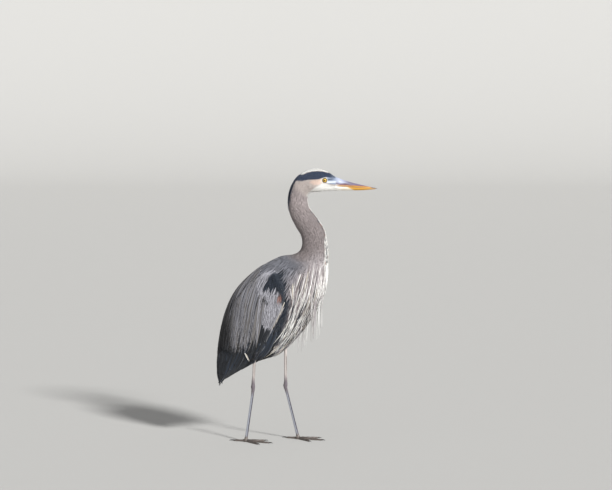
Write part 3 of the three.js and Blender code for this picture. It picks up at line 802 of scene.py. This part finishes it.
def painted(name, settings, grain, depth, swing, barbMap=None):
    # painted colour, broken up a little and raised by the same fine pattern; grain is its size and depth its
    # height in millimetres, swing the change of brightness
    material, tree, shader = newMaterial(name, settings)
    coatColour = addNode(tree, "ShaderNodeAttribute", {"attribute_name": "coat"}).outputs["Color"]
    if barbMap:
        # barbs: slanting lines from shaft to edge, read from the vane's own map
        lines = addNode(tree, "ShaderNodeUVMap", {"uv_map": barbMap}).outputs["UV"]
        parts = addNode(tree, "ShaderNodeSeparateXYZ", {}, {"Vector": lines}).outputs
        value = addNode(tree, "ShaderNodeMath", {"operation": "ABSOLUTE"}, {0: parts["X"]}).outputs[0]
        for step, links in (({"operation": "MULTIPLY_ADD", 1: -barbSlant}, {2: parts["Y"]}),
                            ({"operation": "MULTIPLY", 1: 2 * math.pi / grain}, {}),
                            ({"operation": "SINE"}, {}),
                            ({"operation": "MULTIPLY_ADD", 1: 0.5, 2: 0.5}, {})):
            value = addNode(tree, "ShaderNodeMath", step, {0: value, **links}).outputs[0]
    else:
        spot = addNode(tree, "ShaderNodeTexCoord").outputs["Object"]
        value = addNode(tree, "ShaderNodeTexNoise", {"Scale": 1000 / grain, "Detail": 3.0},
                        {"Vector": spot}).outputs["Fac"]
    change = addNode(tree, "ShaderNodeMath", {"operation": "MULTIPLY_ADD", 1: swing, 2: 1 - swing / 2},
                     {0: value}).outputs[0]
    tinted = addNode(tree, "ShaderNodeVectorMath", {"operation": "SCALE"}, {0: coatColour, "Scale": change})
    bump = addNode(tree, "ShaderNodeBump", {"Strength": 1.0, "Distance": depth / 1000}, {"Height": value})
    tree.links.new(tinted.outputs["Vector"], shader.inputs["Base Color"])
    tree.links.new(bump.outputs["Normal"], shader.inputs["Normal"])
    return material


# soft matt feather with fine slanting barbs, drawn coarser than the real ones so that they show
feather = painted("feather", {"Roughness": 0.72, "Sheen Weight": 0.12, "Specular IOR Level": 0.3},
                  0.8, 0.05, 0.16, "vane")
# down-like skin under the feathers, hardly seen
downySkin = painted("downy skin", {"Roughness": 0.85, "Specular IOR Level": 0.2}, 0.9, 0.15, 0.2)
# horny leg skin, dull with a slight wet edge
legSkin = painted("leg skin", {"Roughness": 0.5, "Specular IOR Level": 0.4}, 1.4, 0.25, 0.3)
# bill horn, smooth with faint growth lines; the claws' horn is a little finer
billHorn = painted("bill horn", {"Roughness": 0.32, "Specular IOR Level": 0.5}, 2.5, 0.03, 0.1)
clawHorn = painted("claw horn", {"Roughness": 0.35}, 1.2, 0.03, 0.2)
# wet eye under a clear cornea
eyeGloss = painted("wet eye", {"Roughness": 0.12, "Coat Weight": 1.0, "Coat Roughness": 0.02}, 0.5, 0.0, 0.12)
for material, pieces in ((downySkin, [skinPiece]), (legSkin, [skinPiece]), (billHorn, billPieces.values()),
                         (eyeGloss, eyePieces), (clawHorn, claws)):
    for piece in pieces:
        piece.data.materials.append(material)
# the skin's bare legs take the leg skin, face by face from the limb marks
onLimb = np.empty(4 * len(skinPiece.data.vertices), np.float32)
skinPiece.data.attributes["limb"].data.foreach_get("color", onLimb)
firstCorner = np.empty(len(skinPiece.data.polygons), np.int32)
skinPiece.data.polygons.foreach_get("loop_start", firstCorner)
corners = np.empty(len(skinPiece.data.loops), np.int32)
skinPiece.data.loops.foreach_get("vertex_index", corners)
isLimb = onLimb[0::4][corners[firstCorner]] > 0.5
skinPiece.data.polygons.foreach_set("material_index", isLimb.astype(np.int32))


# Tracts, from the smallest feathers of the face to the quills; rows are the places from and to and the gaps
# along and around, lengths and widths are in millimetres

# front edge of the wing's dark band: height, then x
bandEdge = np.array([(200, -190), (285, -100), (321, -70), (378, -38), (438, -16), (480, -8), (545, -20),
                     (590, -34)])


def aheadOfBand(x, z):
    return x - np.interp(z, *bandEdge.T)


head = {"rows": (17.4, 24.3, 2.1, 2.3), "stations": 4, "root": 0.5, "lift": 0.2, "tip": 1.5, "arch": 0.06,
        "thick": 0.13, "rootShade": 0.94, "jitter": 0.035, "sway": 0.12, "bareRing": 9.9, "chinTip": 0.95,
        "size": 4.2, "longerBehind": 7}


def keepHead(place, side, x, y, z):
    # bare lids and lores; chin feathers run on along the lower bill in a wedge
    kept = (fromEye(x, z) > head["bareRing"]) | (np.abs(y) < 5)
    kept &= place < 23.35 + head["chinTip"] * ease(1.5, 0.2, side) - 0.15 * rng.random(len(place))
    return kept & ((insideBy(patches["lores"][3], x, z) < 0.6) | (np.abs(y) < 3))


place, angle, x, z = rooted(head, keepHead)
size = (head["size"] + head["longerBehind"] * ease(112, 20, x)) * (0.6 + 0.4 * ease(9, 20, fromEye(x, z)))
vanes("head_vanes", place, angle, head, size * rng.uniform(0.85, 1.15, len(size)),
      1.2 + size * 0.1)

crest = dict(head, rows=(17.1, 18.2, 4, 3), stations=14, lift=1.5, tip=1.3, thick=0.5, length=(60, 105),
             width=(2.4, 3.6), colours={"crownBlack": 0.6, "black": 0.4})
place, angle, *_ = rooted(crest, lambda place, side, x, y, z: side > math.pi - 0.5)
vanes("crest_vanes", place, angle, crest)


def neckTint(base, place, angle):
    # the white line down the front breaks into black and rusty dashes
    side, chance = np.abs(angle), rng.random(len(place))
    beside = (side > 0.14) & (side < 0.5) & (place < 15.5)
    broken = (side < 0.6) & (place < 12) & (chance > 0.4) & (chance < 0.75)
    for where, colour in ((beside & (chance < 0.3), paint["blueBlack"] * 1.3),
                          (beside & (chance > 0.9), paint["rufous"]), (broken, paint["white"])):
        base = np.where(where[:, None], colour, base)
    return base


neck = {"rows": (8.4, 17.7, 3.0, 3.4), "stations": 6, "root": 0.4, "lift": 0.35, "tip": 1.4, "arch": 0.04,
        "thick": 0.12, "rootShade": 1.0, "jitter": 0.02, "sway": 0.04, "edgeLight": 0.0, "bend": 0.03,
        "width": (3.0, 4.6), "size": 20, "longerBelow": 7, "shorterAbove": 9}
place, angle = scatter(*neck["rows"])
size = neck["size"] + neck["longerBelow"] * ease(15, 9, place) - neck["shorterAbove"] * ease(16, 17.6, place)
vanes("neck_vanes", place, angle, neck, size * rng.uniform(0.85, 1.2, len(size)),
      tint=neckTint)


def bodyTint(base, place, angle):
    # a few cream streaks on the black belly
    streak = (np.abs(angle) < 0.75) & (place < 5.8) & (place > 3.4) & (rng.random(len(place)) < 0.2)
    return np.where(streak[:, None], paint["cream"], base)


mantle = {"rows": (0.3, 9.2, 8.5, 6.5), "stations": 6, "root": 0.5, "lift": 0.5, "tip": 1.8, "arch": 0.05,
          "thick": 0.3, "flow": leaning(0.2), "edgeLight": 0.08, "rootShade": 0.85, "jitter": 0.06,
          "width": (6, 9), "size": 42, "uneven": 5, "shorterAbove": 18}
place, angle, x, z = rooted(mantle, lambda place, side, x, y, z: (insideBy(wing["outline"], x, z) < 16)
                            | (np.sin(side) < 0.5) | (place < 2.5))
size = mantle["size"] + mantle["uneven"] * rng.standard_normal(len(place))
size -= mantle["shorterAbove"] * ease(7.6, 9.2, place)
vanes("body_vanes", place, angle, mantle, size, tint=bodyTint)

quill = {"rows": (2.2, 4.4, 15, 7), "stations": 16, "root": -0.3, "lift": 2.4, "tip": 3.0, "arch": 0.12,
         "thick": 0.5, "flow": leaning(0.5), "section": 6, "rootShade": 0.9, "edge": "mantle",
         "edgeShare": 0.13, "bend": 0.04, "sway": 0.05, "length": (105, 160), "width": (11, 16),
         "colours": {"quill": 0.5, "blueBlack": 0.3, "rump": 0.2}}
place, angle, *_ = rooted(quill, lambda place, side, x, y, z: (side > 1.0) & (side < 2.7))
vanes("quill_vanes", place, angle, quill)

tail = dict(quill, root=0.1, lift=1.5, flow=backwards, bend=0.01, sway=0.02, tip=7, length=(77, 82))
place, angle = np.repeat([2.3, 2.0], 8), np.tile(np.linspace(1.7, 4.6, 8), 2)
vanes("tail_vanes", place, angle, tail, width=25.0, tint=np.tile(paint["rump"], (16, 1)))

# the wing: small marginal coverts along its front edge, larger ones behind, the lowest long over the quills
covert = dict(mantle, rows=(2.4, 9, 7, 6), flow=leaning(0.55), lift=0.8, root=0.0, tip=1.7, edgeLight=0.05,
              rootShade=0.96, thick=0.2, arch=0.03, jitter=0.05, size=40, lowestLonger=44)
place, angle, x, z = rooted(covert, lambda place, side, x, y, z: (insideBy(wing["outline"], x, z) > 11)
                            & (np.sin(side) > 0.45))
lowest = ease(455, 425, z) * ease(-148, -138, x) * ease(-88, -98, x) * (rng.random(len(x)) < 0.5)
size = covert["size"] + covert["uneven"] * rng.standard_normal(len(place)) + covert["lowestLonger"] * lowest
lowTint = picked({"covert": 0.6, "scapular": 0.4}, len(place)) * 0.85
vanes("covert_vanes", place, angle, covert, size,
      np.minimum(size, 46) * rng.uniform(0.19, 0.25, len(place)),
      lambda base, place, angle: np.where(lowest[:, None] > 0.4, lowTint, base))
margin = dict(covert, rows=(3.4, 8.6, 4.2, 3.4), stations=5, lift=1.0, root=-0.1, thick=0.16, length=(17, 24),
              width=(3.8, 4.8))
place, angle, x, z = rooted(margin, lambda place, side, x, y, z: (insideBy(wing["outline"], x, z) > 0.5)
                            & (insideBy(wing["outline"], x, z) < 15) & (x > -120) & (np.sin(side) > 0.4))
vanes("margin_vanes", place, angle, margin)

# long scapular plumes hang over the closed wing; their black edges and the narrow black plumes among them are
# painted shade between the plumes
plume = {"rows": (3.4, 7.6, 9.5, 6.8), "stations": 16, "root": -0.6, "lift": 3.2, "tip": 1.5, "arch": 0.22,
         "thick": 0.45, "flow": leaning(0.62), "section": 6, "edge": "black", "edgeShare": 0.75,
         "rootShade": 0.85, "bend": 0.06, "sway": 0.035, "tipHeight": 298, "sizes": (36, 185)}
place, angle, x, z = rooted(plume, lambda place, side, x, y, z: (side > 1.7)
                            & (x < np.where(z > 515, -114, -84 - 0.25 * (515 - z))))
size = np.clip(rng.uniform(0.6, 1.06, len(place)) * (z - plume["tipHeight"]), *plume["sizes"])
tint = picked({"covert": 0.38, "scapular": 0.26, "mantle": 0.12, "black": 0.24}, len(place))
# the plumes are dimmed, each by a random amount, and most along the back's edge: partly the darker feathers
# there, partly painted shade
backEdge = 1.95 + 0.4 * ease(400, 540, z)
behind = ease(backEdge, backEdge + 0.3, np.abs(angle)) * ease(605, 530, z)
tint = tint * (rng.uniform(0.5, 0.9, len(place)) * (1 - 0.85 * behind))[:, None]
vanes("scapular_vanes", place, angle, plume, size,
      np.where(tint.mean(-1) < 0.03, 5.5, rng.uniform(6.5, 10.5, len(place))), tint)


def breastFlow(here, along, around, place, angle):
    # beside the dark band the plumes follow its edge
    share = 0.15 + 0.45 * ease(5.2, 7.2, place)[:, None]
    own = unit(-unit(along) * (1 - share) + down * share)
    x, z = here[:, 0], here[:, 2]
    beside = (ease(34, 10, aheadOfBand(x, z)) * (z < 560))[:, None]
    drop = 12.0
    across = aheadOfBand(x, z) - aheadOfBand(x, z - drop)
    edge = np.stack([across, np.zeros(len(x)), np.full(len(x), -drop)], -1)
    return unit(own + (unit(edge) - own) * beside)


# breast plumes: colours by share, high up and low down
breast = {"rows": (4.3, 9.9, 9, 6), "stations": 14, "root": 0.2, "lift": 2.2, "tip": 1.4, "arch": 0.2,
          "thick": 0.35, "flow": breastFlow, "clings": 0.3, "fall": 0.35, "rootShade": 0.9, "bend": 0.12,
          "sway": 0.05, "length": (60, 125), "width": (3.6, 6.4)}
plumeShares = {"white": (0.18, 0.38), "breast": (0.42, 0.12), "neck": (0.4, 0.09), "cream": (0, 0.07),
               "plumeShade": (0, 0.15), "blueBlack": (0, 0.19)}
place, angle, *_ = rooted(breast, lambda place, side, x, y, z: (aheadOfBand(x, z) > 4) & (side < 1.5))
lowDown, side = ease(8.2, 5.6, place)[:, None], np.abs(angle)
high, low = np.array(list(plumeShares.values())).T
limits = np.cumsum(high * (1 - lowDown) + low * lowDown, axis=-1)
choice = (rng.random(len(place))[:, None] > limits[:, :-1]).sum(-1)
tint = np.array([paint[name] for name in plumeShares])[choice]
whiter = 0.3 * (side < 0.4) + 0.5 * ease(0.65, 0.3, side) * ease(7.2, 8.2, place)
tint = np.where((rng.random(len(place)) < whiter)[:, None], paint["white"], tint)
tint = layered(tint, (markings(place, angle), 0.75 * ease(8.3, 9.7, place) * ease(0.2, 0.5, side)))
vanes("breast_vanes", place, angle, breast, tint=tint)

# long single plumes over them, white or dark, keep their whole length in sight
streak = dict(breast, rows=(5.3, 9.3, 18, 11), lift=3.6, sway=0.03, bend=0.05, length=(95, 150),
              width=(3.4, 5.2), colours={"white": 0.56, "cream": 0.1, "breast": 0.1, "plumeShade": 0.24})
place, angle, *_ = rooted(streak, lambda place, side, x, y, z: (aheadOfBand(x, z) > 9) & (side < 1.4))
vanes("streak_vanes", place, angle, streak)

# a dark fringe under the belly, between the legs
belly = dict(breast, rows=(3.6, 6.6, 8, 6), flow=leaning(0.14), clings=0.26, fall=0.14, lift=3.5,
             length=(40, 62), width=(4, 6.5),
             colours={"blueBlack": 0.5, "plumeShade": 0.24, "breast": 0.14, "cream": 0.12})
place, angle, *_ = rooted(belly, lambda place, side, x, y, z: side < 0.42)
vanes("belly_vanes", place, angle, belly)

# loose plumes leave the lower breast and hang free
loose = dict(breast, rows=(6.8, 9.4, 19, 12), stations=20, clings=-2, fall=0.5, thick=0.5, root=-0.3,
             lift=2.0, bend=0.05, width=(2.2, 4.2), leaves=(405, 530), lowestTip=318,
             colours={"white": 0.42, "breast": 0.3, "neck": 0.18, "toe": 0.1})
place, angle, x, z = rooted(loose, lambda place, side, x, y, z: side < 0.8)
loose["fallFrom"] = leave = rng.uniform(*loose["leaves"], len(place))
tipHeight = loose["lowestTip"] + (leave - 395) * 0.62 + rng.uniform(-14, 26, len(place))
vanes("loose_vanes", place, angle, loose, (z - leave) / 0.86 + leave - tipHeight)

# single marks: a dark notch among the coverts and a white tuft over the near leg
single = dict(plume, root=-1.4, lift=4.2, sway=0.01, bend=0.01, stations=10, edgeShare=0)
places, angles = np.meshgrid(np.linspace(0.2, 9.5, 420), np.linspace(0.03, math.pi - 0.03, 240),
                             indexing="ij")
grid = surface(places, angles, False)
for name, roots, course, length, width, colours in (
        ("notch_vane", ((-95, 498), (-89, 497)), (10, 0, -20), 25, 2.8, ("black", "black")),
        ("tuft_vane", ((-173, 308), (-170, 306)), (9, 0, -29), 34, 4.5, ("white", "cream"))):
    nearest = [np.argmin((grid[..., 0] - x) ** 2 + (grid[..., 2] - z) ** 2) for x, z in roots]
    single["flow"] = lambda here, *rest: np.broadcast_to(np.array(course, float), here.shape)
    vanes(name, places.ravel()[nearest], -angles.ravel()[nearest], single, length, width,
          np.array([paint[colour] for colour in colours]))

# thighs, leg scutes and toe scutes
thigh = {**plainVane, "tip": 1.8, "arch": 0.15, "thick": 0.3, "rootShade": 0.8, "long": 16, "wide": 5,
         "stations": 4, "lift": 1.2, "kind": "vanes", "slot": "dark_feathers", "gap": 1.1, "around": 16}
scute = {**plainVane, "tip": 5, "arch": 0.32, "thick": 0.3, "rootShade": 0.75, "swell": 5, "jitter": 0.06,
         "material": legSkin, "stations": 3, "kind": "scutes", "slot": "legs"}
limbTracts = {"thigh": thigh, "leg": dict(scute, long=5.8, wide=4.6, lift=0.45, gap=4.4, heights=(20, 300)),
              "toe": dict(scute, long=5.2, wide=4.8, lift=0.4, gap=4.2)}
for number, line in enumerate(line for line in limbLines if line[0] in limbTracts):
    kind, centres, rises, sides, bareBelow = line
    tract, numbers, count = limbTracts[kind], np.arange(len(centres)), len(centres) - 1
    if kind == "thigh":
        around = np.arange(tract["around"]) / tract["around"] * 2 * math.pi
        index, turn = np.meshgrid(np.arange(4, count, tract["gap"]), around)
        feathered = np.interp(index, numbers, centres[:, 2]) > bareBelow + 12
        index, turn = index[feathered], turn[feathered]
        turn = turn + index * 1.3 + rng.normal(0, 0.1, len(turn))
    elif kind == "leg":
        # two staggered rows down the front and two down the back
        heights, low = np.arange(*tract["heights"], tract["gap"])[::-1], centres[::-1, 2]
        index = np.concatenate([np.interp(heights + tract["gap"] / 2 * (k % 2), low, numbers[::-1])
                                for k in range(4)])
        turn = np.repeat((-0.5, 0.5, math.pi - 0.5, math.pi + 0.5), len(heights))
    else:
        reach = np.linalg.norm(np.diff(centres, axis=0), axis=-1).sum()
        index = np.arange(2, count - 3, tract["gap"] / (reach / count))
        turn = np.zeros(len(index))
    walk, front = layOnTube(centres, rises, sides, index, turn, tract), np.cos(turn)
    base = legColours(kind, walk[0][0][:, 2], front)
    if kind == "thigh":
        # the thigh vanes are dark all round, painted shade in place of the thighs' rufous
        dark = picked({"plumeShade": 0.2, "blueBlack": 0.4, "thigh": 0.4}, len(turn))
        base = np.where((front > 0.1)[:, None], dark, base)
    # each limb has its own column at the top of the bake map
    column = 0.04 + 0.055 * number + 0.04 * (turn / (2 * math.pi) % 1)
    spot = np.stack([column, 0.88 + 0.1 * index / count], -1)
    dress("_".join((kind, tract["kind"], str(number))), walk, spot, tract["long"],
          tract["wide"], tract, base)
print("feathers")


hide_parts(*skinNodes, *(part + "_" + side for part in legNodes for side in legs),
            *("toe_" + toe + "_" + side for toe in toes for side in legs))
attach(skinPiece, "root")


# Camera, floor and light

view = {"millimetresPerPixel": 3.4, "frame": (612, 490), "originPixel": (296.4, 443.5),
        "elevation": math.radians(6), "distance": 9.0, "sensor": 36}
upright, level = math.cos(view["elevation"]), math.sin(view["elevation"])
centreX = (view["frame"][0] / 2 - view["originPixel"][0]) * view["millimetresPerPixel"]
centreZ = (view["originPixel"][1] - view["frame"][1] / 2) * view["millimetresPerPixel"] / upright
target = (np.array([centreX, 0, centreZ]) + shift) / 1000
camera = bpy.data.objects.new("camera", bpy.data.cameras.new("camera"))
bpy.context.scene.collection.objects.link(camera)
bpy.context.scene.camera = camera
camera.data.sensor_width = view["sensor"]
camera.data.lens = view["sensor"] * view["distance"] / (view["frame"][0] * view["millimetresPerPixel"] / 1000)
camera.location = target + view["distance"] * np.array([0, -upright, level])
camera.rotation_euler = (math.pi / 2 - view["elevation"], 0, 0)

studio = {"bendStart": 10.5, "bend": 5, "wall": 12, "reach": 120, "paper": "#b4b3b0", "key": 4.7,
          "keyFrom": (1.0, -1.15, 1.0), "keySoftness": math.radians(9), "fill": 0.5, "horizon": 0.76,
          "horizonFrom": 0.1, "horizonTo": 0.3, "sky": "#e6e7ea"}


def studioSweep():
    # floor and backdrop in one paper sweep, so no edge shows between them
    half, profile = studio["reach"], [(-studio["reach"], 0)]
    for turn in np.linspace(0, math.pi / 2, 25):
        profile.append((studio["bendStart"] + studio["bend"] * math.sin(turn),
                        studio["bend"] * (1 - math.cos(turn))))
    profile.append((profile[-1][0], studio["wall"]))
    mesh = bpy.data.meshes.new("studio_paper")
    mesh.from_pydata([(x, y, z) for y, z in profile for x in (-half, half)], [],
                     [(2 * k, 2 * k + 1, 2 * k + 3, 2 * k + 2) for k in range(len(profile) - 1)])
    sweep = bpy.data.objects.new("studio_paper", mesh)
    bpy.context.scene.collection.objects.link(sweep)
    mesh.polygons.foreach_set("use_smooth", [True] * len(mesh.polygons))
    # matt background paper
    paper, _, _ = newMaterial("studio paper", {"Base Color": (*linear(studio["paper"]), 1), "Roughness": 0.95,
                                               "Specular IOR Level": 0.1})
    mesh.materials.append(paper)


studioSweep()
sun = bpy.data.objects.new("key", bpy.data.lights.new("key", "SUN"))
sun.data.energy, sun.data.angle = studio["key"], studio["keySoftness"]
sun.rotation_euler = (math.atan2(math.hypot(*studio["keyFrom"][:2]), studio["keyFrom"][2]), 0,
                      math.atan2(studio["keyFrom"][0], -studio["keyFrom"][1]))
bpy.context.scene.collection.objects.link(sun)
world = bpy.data.worlds.new("studio")
world.use_nodes = True
background = world.node_tree.nodes["Background"]
background.inputs["Color"].default_value = (*linear(studio["sky"]), 1)
# the sky pales to the floor's own tone at the horizon, so the floor's far edge hardly shows
skyWay = addNode(world.node_tree, "ShaderNodeTexCoord").outputs["Generated"]
skyHeight = addNode(world.node_tree, "ShaderNodeSeparateXYZ", {}, {"Vector": skyWay}).outputs["Z"]
skyFill = addNode(world.node_tree, "ShaderNodeMapRange",
                  {"From Min": studio["horizonFrom"], "From Max": studio["horizonTo"],
                   "To Min": studio["horizon"], "To Max": studio["fill"]}, {"Value": skyHeight})
world.node_tree.links.new(skyFill.outputs["Result"], background.inputs["Strength"])
bpy.context.scene.world = world
# colours are shown as they are painted, without a film curve
bpy.context.scene.view_settings.view_transform = "Standard"
